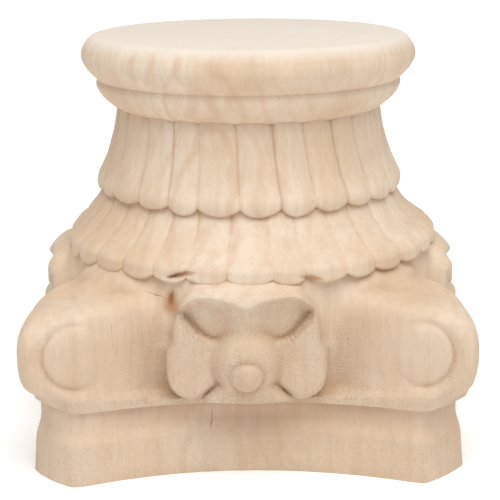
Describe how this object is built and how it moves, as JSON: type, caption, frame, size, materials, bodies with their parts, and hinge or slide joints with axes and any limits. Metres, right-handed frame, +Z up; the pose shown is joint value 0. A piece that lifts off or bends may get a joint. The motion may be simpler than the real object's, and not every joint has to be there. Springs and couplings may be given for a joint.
{
  "type": "carved wooden column capital",
  "caption": "Small carved wooden column head standing on its abacus, with corner scrolls, rosettes, rings of leaves and a turned round end.",
  "frame": {"origin": "centre of the flat underside of the abacus", "axes": "+Z up along the column's axis, towards the round neck end; -Y is the front, with a rosette on it"},
  "size_m": [0.1104, 0.1104, 0.1],
  "materials": {
    "wood": "bare, sanded and carved, matt"
  },
  "bodies": {
    "root": {"carved_column_head": "wood"}
  },
  "joints": []
}
